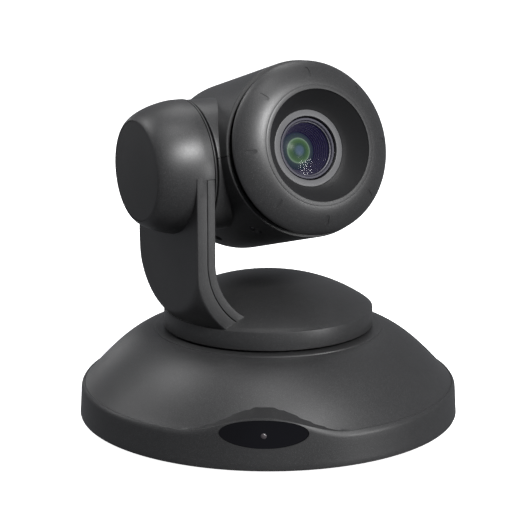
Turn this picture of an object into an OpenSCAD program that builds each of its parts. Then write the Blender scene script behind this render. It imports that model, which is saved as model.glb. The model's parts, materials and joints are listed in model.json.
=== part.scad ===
// Pan, tilt and zoom room camera: a bell-shaped base, a turntable with one
// curved arm, and a round camera head that tilts on the end of the arm.
// Heights are above the underside of the base rim unless a comment says so.

/* [Base] */
// Radius of the base at the bottom of its rim
rim_r = 90; // [88:0.5:92]
// Height of the rim wall at the sides and the back
rim_h = 15.3; // [15:0.1:16]
// Height of the flat top of the base
base_top_h = 41; // [40.6:0.1:41.4]
// Height of the rim above the table, set by the rubber feet
foot_h = 1.2; // [0.8:0.1:2]
// Wall thickness of the moulded shells
wall = 2.2; // [2:0.1:2.4]

/* [Front window] */
// Half width of the oval front window
window_half_w = 19.6; // [17:0.1:22]
// Half height of the oval front window
window_half_h = 6.35; // [5.5:0.05:6.8]
// Height of the window's centre
window_z = 16.4; // [16:0.1:16.6]
// Rise of the brow over the window
brow_rise = 8.3; // [7.8:0.1:8.5]
// Half width of the brow
brow_half_w = 40; // [36:1:44]

/* [Rear sockets] */
// Half width of the cable recess at the back
recess_half_w = 46; // [46:1:50]
// Height of the recess roof
recess_h = 19.6; // [19.5:0.1:20]
// Distance of the socket panel behind the pan axis
panel_y = 62; // [61:0.5:63]

/* [Turntable] */
// Radius of the turntable
turn_r = 49.5; // [49:0.1:50]
// Height of the turntable's lower edge
turn_bottom_h = 42.1; // [42:0.1:42.4]
// Height of the turntable's sharp upper edge
turn_edge_h = 50.7; // [50:0.1:51]
// Rise of the dome above that edge
dome_rise = 14.5; // [13:0.1:14.6]

/* [Arm] */
// Height of the tilt axis
tilt_axis_h = 121; // [121:0.1:123]
// Distance of the lower bend's centre from the lens axis
bend_a = 12; // [11.5:0.1:12.5]
// Height of the lower bend's centre
bend_h = 82; // [81:0.5:83]
// Inner radius of the arm at its bend
arm_in_r = 31.4; // [31.2:0.1:31.6]
// Radius of the seam between the arm's two mouldings
arm_seam_r = 35.6; // [35.4:0.1:35.8]
// Outer radius of the arm at its bend
arm_out_r = 40.4; // [40.2:0.1:40.6]
// Half width of the arm, front to back
arm_half_w = 30.7; // [30:0.1:30.8]
// Distance of the arm's middle behind the tilt axis
arm_shift = 0.5; // [0.2:0.1:0.6]
// Radius of the tilt drive housing
drum_r = 30.5; // [30.2:0.1:30.6]
// Distance of the housing's flat end from the lens axis
drum_end_a = 67.7; // [67:0.1:69]
// Radius of the housing's flat end cap
cap_r = 22.6; // [22:0.1:23]

/* [Head] */
// Radius of the head's round shell
head_r = 40; // [39.6:0.1:40]
// Distance of the shell's front edge from the tilt axis
head_front_d = 36.6; // [36:0.1:36.8]
// Distance of the shell's back from the tilt axis
head_back_d = 42; // [41:0.5:42]
// Radius of the side boss that faces the arm
boss_r = 30; // [29:0.5:30]
// Outer radius of the front bezel
bezel_r = 39.1; // [38.5:0.1:39.4]
// Distance of the bezel's outer edge from the tilt axis
bezel_edge_d = 40.4; // [40:0.1:40.8]
// Distance of the bezel's crest from the tilt axis
crest_d = 49; // [48.5:0.1:49.2]
// Outer radius of the flat crest
crest_out_r = 27; // [26.8:0.1:27.4]
// Inner radius of the flat crest
crest_in_r = 25; // [24.8:0.1:25.2]
// Outer radius of the flat lens ring
lens_ring_r = 17.3; // [17:0.1:17.5]
// Distance of the lens ring's face from the tilt axis
lens_ring_d = 38.5; // [38.2:0.1:38.8]

/* [Drives] */
// Teeth on the pan gear
pan_teeth = 80; // [80:1:80]
// Tooth module of the pan pair
pan_module = 0.6; // [0.6:0.1:0.6]
// Teeth on the tilt gear
tilt_teeth = 44; // [44:1:44]
// Tooth module of the tilt pair
tilt_module = 0.5; // [0.5:0.1:0.5]
// Teeth on each motor pinion
pinion_teeth = 14; // [14:1:14]

/* [Stored pose] */
// Pan angle, positive turns the head to its left
pan_rest = 30.3; // [0:0.1:60]
// Tilt angle, positive looks up
tilt_rest = 15.7; // [0:0.1:40]

/* [Hidden] */
$fn = 96;
eps = 0.05;
charcoal = "#3d3d3f";
graphite = "#2c2c2e";
steel = "#b9bcc0";
board_green = "#1f5a3a";

// Base outline: a nearly upright rim rounds in to the crease, then a Bezier bell rises to the top.
crease_r = rim_r - 1.9;
rim_lean = 1.6;
shoulder_drop = 2.5;
bell_ctrl = [[crease_r, rim_h], [rim_r - 8.7, rim_h + 5.9], [rim_r - 20.8, base_top_h - 4.1],
    [rim_r - 36, base_top_h]];
bell_steps = 12;
neck_hole_r = 34;
screw_ring_r = 76;
foot_ring_r = 74;
foot_angles = [25, 155, 205, 335];
plate_low_h = 0.6;
plate_high_h = 2.2;
board_h = 4.2;
board_t = 1.6;
board_top_h = board_h + board_t;
bracket_pcd = 60;

// Pan drive heights and radii
deck_low_h = 22;
deck_high_h = 24;
bearing_low_h = 24.5;
bearing_w = 7;
race_out_r = 21;
race_mid_r = 16.85;
ball_r = 2;
race_gap = 1.55;
pan_shaft_r = 12.5;
cable_bore_r = 9.6;
pan_gear_h = 33.2;
pan_gear_w = 4;
pan_gear_r = pan_teeth * pan_module / 2;
pan_pinion_r = pinion_teeth * pan_module / 2;
pan_centres = pan_gear_r + pan_pinion_r;
flange_h = 40.3;
plate_top_h = 44.3;

// Tilt drive distances from the lens axis, along the tilt axis
lid_a = 42.3;
lid_t = 1.1;
arm_in_a = bend_a + arm_in_r;
arm_seam_a = bend_a + arm_seam_r;
arm_out_a = bend_a + arm_out_r;
foot_low_h = 47;
boss_a = 41.3;
tilt_shaft_r = 6;
tilt_hub_r = 13;
tilt_gear_a = 53;
tilt_gear_w = 3.6;
tilt_centres = (tilt_teeth + pinion_teeth) * tilt_module / 2;
round_a = 47;
bracket_a = 57.6;

// Point on a cubic Bezier curve
function bezier(c, t) = pow(1 - t, 3) * c[0] + 3 * t * pow(1 - t, 2) * c[1]
    + 3 * t * t * (1 - t) * c[2] + pow(t, 3) * c[3];
// Points of an arc or elliptic arc about c
function arc(c, rx, ry, from, to, steps) =
    [for (i = [0:steps]) let (w = from + (to - from) * i / steps) c + [rx * cos(w), ry * sin(w)]];
// Points of a full corner from [x0, y0] to [x1, y1]; a smaller power is flatter
function corner(x0, y0, x1, y1, power, steps) = [for (i = [0:steps]) let (w = 90 * i / steps)
    [x1 + (x0 - x1) * pow(cos(w), 2 / power), y0 + (y1 - y0) * pow(sin(w), 2 / power)]];
// Height of the turntable's dome at radius r
function dome_h(r) = turn_edge_h + dome_rise * (1 - pow(r / turn_r, 2.4));
// Radius of the arm's outer face about the pan axis at height h, from its straight front edge
function foot_r(h) = norm([bend_a + 0.5 + sqrt(pow(arm_out_r, 2) - pow(bend_h - h, 2)), arm_half_w]);
// Radius of the rim wall at height h
function rim_wall_r(h) = rim_r - rim_lean * h / 26;
// Height of the brow's upper edge at distance x from the middle
function brow_h(x) = rim_h - 1.3 * shoulder_drop
    + (brow_rise + 1.3 * shoulder_drop) * pow(cos(90 * x / brow_half_w), 2);
// Involute angle in degrees at radius r on a base circle of radius b
function involute(b, r) = let (w = acos(min(1, b / max(r, b)))) tan(w) * 180 / PI - w;
// Half the angle of a tooth at radius r
function tooth_half(teeth, mod, r) = let (p = teeth * mod / 2, b = p * cos(20))
    90 / teeth - 0.06 / p * 180 / PI + involute(b, p) - involute(b, r);

// Unit vector at an angle
function turned(w) = [cos(w), sin(w)];

// Turning and placing
module on_base() { translate([0, 0, foot_h]) children(); }
module on_yoke() { on_base() rotate([0, 0, pan_rest]) children(); }
module on_axis() { on_yoke() translate([0, 0, tilt_axis_h]) children(); }
module on_head() { on_axis() rotate([-tilt_rest, 0, 0]) children(); }
module along_lens() { rotate([90, 0, 0]) children(); }
module along_arm() { rotate([0, -90, 0]) children(); }
module around(r, angles) { for (w = angles) rotate([0, 0, w]) translate([r, 0, 0]) children(); }
module tube(r_out, r_in, low, high) {
    difference() {
        translate([0, 0, low]) cylinder(r = r_out, h = high - low);
        translate([0, 0, low - 1]) cylinder(r = r_in, h = high - low + 2);
    }
}
module block(from, to) { translate(from) cube(to - from); }

// Spur gear outline with stub teeth, one tooth centred on the X axis
module gear_outline(teeth, mod) {
    p = teeth * mod / 2;
    radii = [p - 1.1 * mod, p - 0.3 * mod, p + 0.25 * mod, p + 0.8 * mod];
    polygon([for (i = [0:teeth - 1]) let (c = 360 * i / teeth)
        each concat([for (r = radii) r * turned(c - tooth_half(teeth, mod, r))],
            [for (k = [3:-1:0]) radii[k] * turned(c + tooth_half(teeth, mod, radii[k]))])]);
}

// ---- Base ----
module base_solid(inset) {
    rotate_extrude() polygon(concat(
        [[0, -inset], [rim_r - inset, -inset],
            [rim_wall_r(rim_h - shoulder_drop) - inset, rim_h - shoulder_drop - 0.4 * inset]],
        [for (i = [0:bell_steps]) bezier(bell_ctrl, i / bell_steps) - 0.72 * [inset, inset]],
        [[0, base_top_h - inset]]));
}
module window_prism(grow, near_y, far_y) {
    translate([0, near_y, window_z]) rotate([90, 0, 0]) linear_extrude(near_y - far_y)
        polygon(arc([0, 0], window_half_w + grow, window_half_h + grow, 0, 352.5, 47));
}
module rim_cone(inset) {
    cylinder(r1 = rim_r - inset, r2 = rim_wall_r(26) - inset, h = 26);
}
module base_cover() {
    color(charcoal) on_base() difference() {
        union() {
            difference() {
                base_solid(0);
                base_solid(wall);
            }
            intersection() {
                rim_cone(eps);
                translate([0, -70, 0]) rotate([90, 0, 0]) linear_extrude(25)
                    polygon(concat([[brow_half_w, rim_h - 6], [-brow_half_w, rim_h - 6]],
                        [for (i = [0:24]) let (x = brow_half_w * (i / 12 - 1)) [x, brow_h(x)]]));
            }
            intersection() {
                base_solid(0);
                block([-recess_half_w - wall, panel_y - 2, plate_high_h],
                    [recess_half_w + wall, 95, recess_h + wall]);
            }
            intersection() {
                base_solid(0.3);
                around(screw_ring_r, [45:90:315]) translate([0, 0, plate_high_h]) cylinder(r = 3.5, h = 26);
            }
        }
        block([-recess_half_w, panel_y - 4, plate_high_h], [recess_half_w, 95, recess_h]);
        translate([0, 0, base_top_h - 5]) cylinder(r = neck_hole_r, h = 10);
        window_prism(0, -70, -95);
        around(screw_ring_r, [45:90:315]) cylinder(r = 1.25, h = 16);
    }
}
module base_plate() {
    color(graphite) on_base() difference() {
        translate([0, 0, plate_low_h]) cylinder(r = rim_r - wall - 0.8, h = plate_high_h - plate_low_h);
        cylinder(r = 6.1, h = 10, center = true);
        around(screw_ring_r, [45:90:315]) cylinder(r = 1.7, h = 10, center = true);
        around(bracket_pcd / 2, [0:90:270]) cylinder(r = 1.65, h = 10, center = true);
        around(foot_ring_r, foot_angles) cylinder(r = 7.2, h = 1.2);
    }
}
module front_window() {
    color("#141416") on_base() intersection() {
        window_prism(-0.1, -75, -95);
        difference() {
            rim_cone(0);
            rim_cone(2);
        }
    }
}
module ir_receiver() {
    color("#3a1f24") on_base() translate([0, -83.7, window_z]) rotate([90, 0, 0])
        cylinder(r = 1.7, h = 1.7);
}
module receiver_board() {
    color(board_green) on_base() block([-11, -83.6, window_z - 4.6], [11, -82.4, window_z + 4.6]);
}
module rubber_feet() {
    color("#1b1b1b") around(foot_ring_r, foot_angles) cylinder(r = 7, h = foot_h + plate_low_h + 0.6);
}
module base_screws() {
    color(steel) on_base() around(screw_ring_r, [45:90:315]) {
        translate([0, 0, plate_low_h - 1.4]) cylinder(r = 2.6, h = 1.4);
        translate([0, 0, plate_low_h]) cylinder(r = 1.2, h = 12);
    }
}
module board_standoffs() {
    color(steel) on_base() for (x = [-28, 28]) for (y = [-40, 36])
        translate([x, y, plate_high_h]) cylinder(r = 2.4, h = board_h - plate_high_h);
}
module main_board() {
    color(board_green) on_base() difference() {
        union() {
            block([-34, -56, board_h], [34, 46, board_top_h]);
            block([-44, 46, board_h], [44, panel_y - 1, board_top_h]);
        }
        cylinder(r = 9, h = 20);
    }
}
module main_chips() {
    color("#18181a") on_base() {
        block([-26, -46, board_top_h], [-12, -32, board_top_h + 1.6]);
        block([4, -50, board_top_h], [22, -32, board_top_h + 2.2]);
        for (x = [-24:12:24]) block([x - 3, -26, board_top_h], [x + 3, -18, board_top_h + 1.2]);
    }
}
// A socket shell lying on the main board, open to the back
module socket(x, half_w, high, open_half_w, open_low, open_high, deep) {
    difference() {
        block([x - half_w, panel_y - 14, board_top_h],
            [x + half_w, panel_y + 2.5, board_top_h + high]);
        block([x - open_half_w, panel_y + 2.5 - deep, board_top_h + open_low],
            [x + open_half_w, panel_y + 5, board_top_h + open_high]);
    }
}
module rear_panel() {
    color(graphite) on_base() difference() {
        block([-recess_half_w, panel_y, plate_high_h], [recess_half_w, panel_y + 2, recess_h]);
        translate([-37, panel_y - 1, board_top_h + 5.6]) rotate([-90, 0, 0]) cylinder(r = 4.8, h = 6);
        socket_hole(-20, 6.1, 11);
        socket_hole(0, 7.6, 6.2);
        socket_hole(19, 8.1, 13.3);
        socket_hole(37, 6.7, 12.4);
    }
}
module socket_hole(x, half_w, high) {
    block([x - half_w - 0.1, panel_y - 1, board_top_h - 0.1],
        [x + half_w + 0.1, panel_y + 4, board_top_h + high + 0.1]);
}
module power_jack() {
    color("#19191b") on_base() difference() {
        union() {
            block([-41.5, panel_y - 13, board_top_h], [-32.5, panel_y - 0.2, board_top_h + 10.4]);
            translate([-37, panel_y - 0.3, board_top_h + 5.6]) rotate([-90, 0, 0])
                cylinder(r = 4.7, h = 3.1);
        }
        translate([-37, panel_y - 7.2, board_top_h + 5.6]) rotate([-90, 0, 0]) cylinder(r = 3.2, h = 14);
    }
}
module usb_port() { color(steel) on_base() socket(-20, 6, 10.9, 4.3, 1.4, 9.4, 10); }
module video_port() { color(steel) on_base() socket(0, 7.5, 6.1, 7, 0.6, 5.3, 9); }
module network_jack() { color("#222226") on_base() socket(19, 8, 13.2, 5.9, 2.2, 10.4, 12); }
module control_jack() { color("#222226") on_base() socket(37, 6.6, 12.3, 4.9, 2.2, 9, 12); }
module tripod_insert() {
    color("#b08d4a") on_base() difference() {
        union() {
            translate([0, 0, plate_low_h]) cylinder(r = 6, h = plate_high_h - plate_low_h);
            translate([0, 0, plate_high_h]) cylinder(r = 8, h = 1.6);
            translate([0, 0, plate_high_h + 1.6]) cylinder(r = 5, h = 7);
        }
        cylinder(r = 2.6, h = 8.6);
    }
}
module pan_chassis() {
    color(steel) on_base() difference() {
        union() {
            translate([0, 0, deck_low_h]) cylinder(r = 46, h = deck_high_h - deck_low_h);
            tube(race_out_r + 2.4, race_out_r, deck_high_h, bearing_low_h + bearing_w);
            for (x = [-40, 40]) for (y = [-14, 14])
                translate([x, y, plate_high_h]) cylinder(r = 3, h = deck_low_h - plate_high_h + eps);
        }
        translate([0, 0, deck_low_h - 1]) cylinder(r = 18, h = 4);
        translate([0, pan_centres, deck_low_h - 1]) cylinder(r = 3.5, h = 6);
    }
}
module pan_motor() {
    color("#8d9094") on_base() translate([0, pan_centres, 0]) difference() {
        translate([0, 0, 10.8]) cylinder(r = 10, h = deck_low_h - 10.8);
        translate([0, 0, 16]) cylinder(r = 1.05, h = 10);
    }
}
module race_groove() {
    rotate_extrude() translate([race_mid_r, bearing_low_h + bearing_w / 2])
        circle(r = ball_r + 0.06, $fn = 32);
}
module pan_bearing_outer() {
    color(steel) on_base() difference() {
        tube(race_out_r, race_mid_r + race_gap, bearing_low_h, bearing_low_h + bearing_w);
        race_groove();
    }
}
module pan_bearing_balls() {
    color("#d8dade") on_base() around(race_mid_r, [0:24:336])
        translate([0, 0, bearing_low_h + bearing_w / 2]) sphere(r = ball_r, $fn = 32);
}
module pan_pinion() {
    color("#d0b060") on_base() translate([0, pan_centres, 0]) {
        translate([0, 0, pan_gear_h]) rotate([0, 0, 270 + 180 / pinion_teeth])
            linear_extrude(pan_gear_w) gear_outline(pinion_teeth, pan_module);
        translate([0, 0, 16.5]) cylinder(r = 1, h = pan_gear_h - 16.5);
    }
}

// ---- Yoke ----
module turntable_solid(inset, low) {
    rotate_extrude() polygon(concat([[0, low], [turn_r - inset, low]],
        [for (i = [16:-1:0]) let (r = turn_r * i / 16) [r * (1 - inset / turn_r), dome_h(r) - inset]]));
}
// Stretch of the arm between two radii of its bend, up to the height top
module arm_strap(r_in, r_out, half_w, top, sweep) {
    translate([0, arm_shift + half_w, 0]) rotate([90, 0, 0]) linear_extrude(2 * half_w) mirror([1, 0, 0])
        polygon(concat([[bend_a + r_out, top]], arc([bend_a, bend_h], r_out, r_out, 0, -sweep, 12),
            arc([bend_a, bend_h], r_in, r_in, -sweep, 0, 12), [[bend_a + r_in, top]]));
}
// Outer half of the arm: flat outside above the bend, wrapped round the pan axis at its foot
module arm_outer(inset, top) {
    intersection() {
        translate([0, arm_shift + arm_half_w - inset, 0]) rotate([90, 0, 0])
            linear_extrude(2 * (arm_half_w - inset))
            mirror([1, 0, 0]) polygon(concat([[arm_out_a - inset, top], [arm_out_a - inset, foot_low_h]],
                arc([bend_a, bend_h], arm_seam_r - 3 * inset, arm_seam_r - 3 * inset, -68, 0, 12),
                [[arm_seam_a - 3 * inset, top]]));
        rotate_extrude() polygon(concat([[0, foot_low_h]],
            [for (i = [0:10]) let (h = foot_low_h + (bend_h - foot_low_h) * i / 10) [foot_r(h) - inset, h]],
            [[foot_r(bend_h) - inset, top], [0, top]]));
    }
}
module drum_solid() {
    translate([0, 0, tilt_axis_h]) along_arm() rotate_extrude() polygon(concat(
        [[0, arm_in_a], [drum_r, arm_in_a]],
        corner(drum_r, round_a, cap_r, drum_end_a, 1.55, 12), [[0, drum_end_a]]));
}
module drum_hollow() {
    translate([0, 0, tilt_axis_h]) along_arm() {
        rotate_extrude() polygon(concat([[0, arm_in_a - 1], [drum_r - wall, arm_in_a - 1]],
            corner(drum_r - wall, round_a, cap_r - 2.4, drum_end_a - 3, 1.55, 8), [[0, drum_end_a - 3]]));
        translate([0, 0, drum_end_a - 1.5]) cylinder(r = cap_r, h = 3);
        cylinder(r = cap_r - 2.4, h = drum_end_a + 1);
    }
}
module yoke_shell() {
    color(charcoal) on_yoke() difference() {
        union() {
            turntable_solid(0, turn_bottom_h);
            arm_outer(0, tilt_axis_h);
            drum_solid();
        }
        turntable_solid(wall, turn_bottom_h - 1);
        arm_outer(wall, tilt_axis_h - 8);
        drum_hollow();
        block([-arm_seam_a, -40, bend_h], [-38, 40, tilt_axis_h]);
    }
}
module arm_inner_cover() {
    color(graphite) on_yoke() difference() {
        arm_strap(arm_in_r, arm_seam_r, arm_half_w, tilt_axis_h, 62);
        arm_strap(arm_in_r + 2, arm_seam_r + 1, arm_half_w - wall, tilt_axis_h - 20, 70);
        translate([0, 0, 0.1]) turntable_solid(0, turn_bottom_h);
        translate([0, 0, tilt_axis_h]) along_arm() cylinder(r = tilt_hub_r + 0.5, h = 60);
    }
}
module housing_lid() {
    color(graphite) on_axis() along_arm() tube(drum_r, tilt_hub_r + 0.5, lid_a, lid_a + lid_t);
}
module housing_cap() {
    color("#29292b") on_axis() along_arm() translate([0, 0, drum_end_a - 1.5])
        cylinder(r = cap_r - 0.05, h = 1.5);
}
module turntable_plate() {
    color(graphite) on_yoke() difference() {
        tube(turn_r - wall - 0.1, cable_bore_r, turn_bottom_h + 0.2, plate_top_h);
        around(17.5, [0:90:270]) cylinder(r = 1.3, h = 60);
    }
}
module turntable_screws() {
    color(steel) on_yoke() around(17.5, [0:90:270]) {
        translate([0, 0, flange_h - 1.5]) cylinder(r = 2.2, h = 1.5);
        translate([0, 0, flange_h]) cylinder(r = 1.2, h = plate_top_h - flange_h);
    }
}
module pan_shaft() {
    color(steel) on_yoke() difference() {
        union() {
            tube(pan_shaft_r, cable_bore_r, 19, turn_bottom_h + 0.2);
            tube(pan_shaft_r + 1.8, cable_bore_r, bearing_low_h + bearing_w, pan_gear_h);
            tube(21, cable_bore_r, flange_h, turn_bottom_h + 0.2);
        }
        around(17.5, [0:90:270]) cylinder(r = 1.3, h = 60);
    }
}
module pan_retainer() {
    color("#6d7074") on_yoke() tube(16.4, pan_shaft_r, 20.2, 21.5);
}
module pan_bearing_inner() {
    color(steel) on_yoke() difference() {
        tube(race_mid_r - race_gap, pan_shaft_r, bearing_low_h, bearing_low_h + bearing_w);
        race_groove();
    }
}
module pan_gear() {
    color("#e4dfd0") on_base() difference() {
        translate([0, 0, pan_gear_h]) rotate([0, 0, 90]) linear_extrude(pan_gear_w)
            gear_outline(pan_teeth, pan_module);
        cylinder(r = pan_shaft_r, h = 50);
    }
}
module tilt_chassis() {
    color(steel) on_axis() along_arm() difference() {
        union() {
            tube(27.6, 8, 50.2, 51.8);
            tube(tilt_hub_r, 11, 44, 50.2 + eps);
        }
        translate([tilt_centres, 0, 49]) cylinder(r = 5, h = 4);
    }
}
module tilt_bearing() {
    color("#d8dade") on_axis() along_arm() tube(11, tilt_shaft_r + 0.05, 44.5, 49.5);
}
module tilt_motor() {
    color("#8d9094") on_axis() along_arm() translate([tilt_centres, 0, 0])
        tube(7, 1.05, bracket_a + 1, bracket_a + 6.8);
}
module tilt_motor_bracket() {
    color(steel) on_axis() along_arm() {
        translate([tilt_centres, 0, 0]) tube(11, 2.5, bracket_a, bracket_a + 1);
        for (y = [-8, 8]) translate([tilt_centres + 4.5, y, 51.8])
            cylinder(r = 1.6, h = bracket_a - 51.8 + eps);
    }
}
module arm_ribbon() {
    color("#c9a24a") on_yoke() arm_strap(arm_seam_r + 0.4, arm_seam_r + 1.2, 8, tilt_axis_h - 16, 58);
}
module tilt_pinion() {
    color("#d0b060") on_axis() along_arm() translate([tilt_centres, 0, 0]) {
        translate([0, 0, tilt_gear_a]) rotate([0, 0, 180 + 180 / pinion_teeth])
            linear_extrude(tilt_gear_w) gear_outline(pinion_teeth, tilt_module);
        translate([0, 0, tilt_gear_a + tilt_gear_w]) cylinder(r = 1, h = 6);
    }
}

// ---- Head ----
module head_solid(r, front, back, round_r) {
    rotate_extrude() polygon(concat([[0, front], [r, front]],
        arc([r - round_r, round_r - back], round_r, round_r, 0, -90, 8), [[0, -back - 0.6]]));
}
module head_walls() {
    difference() {
        union() {
            along_lens() head_solid(head_r, head_front_d, head_back_d, 14);
            along_arm() cylinder(r = boss_r, h = boss_a);
        }
        along_lens() head_solid(head_r - 2, head_front_d - 3, head_back_d - 2, 12.5);
        along_lens() cylinder(r = 36.3, h = 60);
        along_lens() translate([0, 0, head_front_d - 2]) cylinder(r = head_r - 1.6, h = 4);
        along_arm() cylinder(r = boss_r - 2, h = boss_a - 2);
        along_arm() cylinder(r = 9, h = 60);
    }
}
module screw_posts(low, high, bore_r) {
    intersection() {
        for (x = [-22, 22]) for (y = [-20, 20]) translate([x, y, 0]) tube(3.6, bore_r, low, high);
        along_lens() head_solid(head_r - 0.4, head_front_d, head_back_d - 1, 14);
    }
}
module head_upper_shell() {
    color(charcoal) on_head() union() {
        intersection() {
            head_walls();
            block([-60, -60, 0], [60, 60, 60]);
        }
        screw_posts(0.2, 32.3, 1.25);
    }
}
module head_lower_shell() {
    color(charcoal) on_head() difference() {
        union() {
            intersection() {
                head_walls();
                block([-60, -60, -60], [60, 60, 0]);
            }
            screw_posts(-32.3, -0.2, 1.3);
        }
        for (x = [-22, 22]) for (y = [-20, 20]) translate([x, y, -41]) cylinder(r = 2.6, h = 10.5);
    }
}
module front_bezel() {
    color(charcoal) on_head() along_lens() difference() {
        rotate_extrude() polygon(concat(
            [[34.5, 32.4], [36, 32.4], [36, 38.4], [bezel_r - 1, 38.9]],
            corner(bezel_r, bezel_edge_d, crest_out_r, crest_d, 1.45, 12),
            [[crest_in_r, crest_d], [crest_in_r, 47.6], [crest_in_r + 2.6, 46.4], [34.5, 43]]));
        for (w = [0:45:315]) rotate([0, 0, w]) translate([33.3, 0, 46.7]) rotate([0, 32, 0])
            cube([5.4, 1.8, 1.2], center = true);
    }
}
module lens_shroud() {
    color("#1c1c1e") on_head() along_lens() rotate_extrude() polygon([[crest_in_r - 0.05, crest_d - 0.5],
        [lens_ring_r + 0.1, lens_ring_d + 0.1], [lens_ring_r + 0.1, lens_ring_d - 3],
        [lens_ring_r + 1.6, lens_ring_d - 3], [crest_in_r - 0.05, 47.2]]);
}
module lens_ring() {
    color("#6f7275") on_head() along_lens() tube(lens_ring_r, 14.4, lens_ring_d - 2.2, lens_ring_d);
}
module front_lens() {
    color([0.25, 0.35, 0.33, 0.6]) on_head() along_lens() rotate_extrude()
        polygon(concat([[0, 31], [12.7, 31]],
            [for (i = [10:-1:0]) let (r = 12.7 * i / 10) [r, 36.4 - 2.8 * pow(r / 12.7, 2)]]));
}
module lens_barrel() {
    color("#121214") on_head() along_lens() difference() {
        tube(14.3, 11.5, -4.5, 36);
        translate([0, 0, 30.9]) cylinder(r = 12.75, h = 10);
    }
}
module camera_block() {
    color("#3c4046") on_head() difference() {
        block([-17, -8, -17], [17, 14.6, 17]);
        along_lens() translate([0, 0, -14.7]) cylinder(r = 14.35, h = 40);
    }
}
module image_sensor() {
    color("#2a3550") on_head() block([-6, 13.2, -4.5], [6, 14.6, 4.5]);
}
module sensor_board() {
    color(board_green) on_head() block([-15, 14.6, -15], [15, 16.2, 15]);
}
module head_frame() {
    color(steel) on_head() difference() {
        union() {
            block([-19, -8, -15], [-17, 14.6, 15]);
            along_arm() translate([0, 0, 19]) cylinder(r = 10, h = 5);
        }
        along_arm() translate([0, 0, 17.2]) cylinder(r = tilt_shaft_r + 0.02, h = 20);
    }
}
module tilt_shaft() {
    color(steel) on_axis() along_arm() tube(tilt_shaft_r, 3.5, 19, tilt_gear_a + tilt_gear_w);
}
module tilt_gear() {
    color("#e4dfd0") on_axis() along_arm() difference() {
        translate([0, 0, tilt_gear_a]) linear_extrude(tilt_gear_w) gear_outline(tilt_teeth, tilt_module);
        cylinder(r = tilt_shaft_r, h = 70);
    }
}
module head_screws() {
    color(steel) on_head() for (x = [-22, 22]) for (y = [-20, 20]) translate([x, y, 0]) {
        translate([0, 0, -32.2]) cylinder(r = 2.4, h = 1.7);
        translate([0, 0, -30.5]) cylinder(r = 1.15, h = 40);
    }
}
module cell(low, high) { color("#1a1a1c") on_head() along_lens() tube(11.45, 9, low, high); }
module cell_glass(low, high) {
    color([0.4, 0.6, 0.6, 0.5]) on_head() along_lens() rotate_extrude()
        polygon(concat([[0, low], [9, low]],
            [for (i = [8:-1:0]) let (r = 9 * i / 8) [r, high - 1.2 * pow(r / 9, 2)]]));
}
module zoom_cell() { cell(14, 20); }
module zoom_lens() { cell_glass(15, 19); }
module focus_cell() { cell(0, 4); }
module focus_lens() { cell_glass(0.5, 3.6); }

base_cover();
base_plate();
front_window();
ir_receiver();
receiver_board();
rubber_feet();
base_screws();
board_standoffs();
main_board();
main_chips();
rear_panel();
power_jack();
usb_port();
video_port();
network_jack();
control_jack();
tripod_insert();
pan_chassis();
pan_motor();
pan_bearing_outer();
pan_bearing_balls();
pan_pinion();
yoke_shell();
arm_inner_cover();
housing_lid();
housing_cap();
turntable_plate();
turntable_screws();
pan_shaft();
pan_retainer();
pan_bearing_inner();
pan_gear();
tilt_chassis();
tilt_bearing();
tilt_motor();
tilt_motor_bracket();
arm_ribbon();
tilt_pinion();
head_upper_shell();
head_lower_shell();
front_bezel();
lens_shroud();
lens_ring();
front_lens();
lens_barrel();
camera_block();
image_sensor();
sensor_board();
head_frame();
tilt_shaft();
tilt_gear();
head_screws();
zoom_cell();
zoom_lens();
focus_cell();
focus_lens();
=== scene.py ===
import json
import math
import bpy
import bmesh
from mathutils import Matrix, Vector


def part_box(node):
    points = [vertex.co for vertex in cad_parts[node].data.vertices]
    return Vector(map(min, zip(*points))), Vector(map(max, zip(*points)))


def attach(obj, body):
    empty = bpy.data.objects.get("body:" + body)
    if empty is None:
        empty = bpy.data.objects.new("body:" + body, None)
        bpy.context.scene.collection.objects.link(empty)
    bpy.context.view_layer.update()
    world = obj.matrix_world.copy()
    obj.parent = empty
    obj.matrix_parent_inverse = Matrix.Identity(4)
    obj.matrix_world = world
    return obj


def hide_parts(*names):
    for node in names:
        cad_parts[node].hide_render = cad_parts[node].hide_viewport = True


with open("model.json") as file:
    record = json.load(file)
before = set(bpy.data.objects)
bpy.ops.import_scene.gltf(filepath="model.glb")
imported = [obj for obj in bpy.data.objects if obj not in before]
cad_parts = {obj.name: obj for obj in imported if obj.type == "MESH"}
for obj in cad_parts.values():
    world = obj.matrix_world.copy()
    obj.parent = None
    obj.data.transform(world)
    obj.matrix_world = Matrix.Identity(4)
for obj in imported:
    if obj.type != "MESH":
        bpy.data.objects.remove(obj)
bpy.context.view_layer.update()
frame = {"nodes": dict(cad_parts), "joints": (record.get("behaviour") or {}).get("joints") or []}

# ---- Camera, light and floor -----------------------------------------------------------------
# A long lens looks slightly down at the front of the camera. A small bright soft box at the front
# right makes the sheen, weaker ones stand round it, and the floor is a large pale sheet.
camera_turn = math.radians(1.4)
camera_rise = math.radians(13.71)
camera_distance = 0.8035
camera_aim = Vector((-0.00203, 0.0, 0.07148))
camera_dir = Vector((math.sin(camera_turn) * math.cos(camera_rise),
                     -math.cos(camera_turn) * math.cos(camera_rise), math.sin(camera_rise)))
camera_data = bpy.data.cameras.new("view_camera")
camera_data.lens = 115.9
camera_data.sensor_width = 36.0
camera_data.clip_start = 0.01
camera = bpy.data.objects.new("view_camera", camera_data)
camera.location = camera_aim + camera_distance * camera_dir
camera.rotation_euler = (-camera_dir).to_track_quat("-Z", "Y").to_euler()
bpy.context.scene.collection.objects.link(camera)
bpy.context.scene.camera = camera


light_aim = Vector((0, 0, 0.09))


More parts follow.
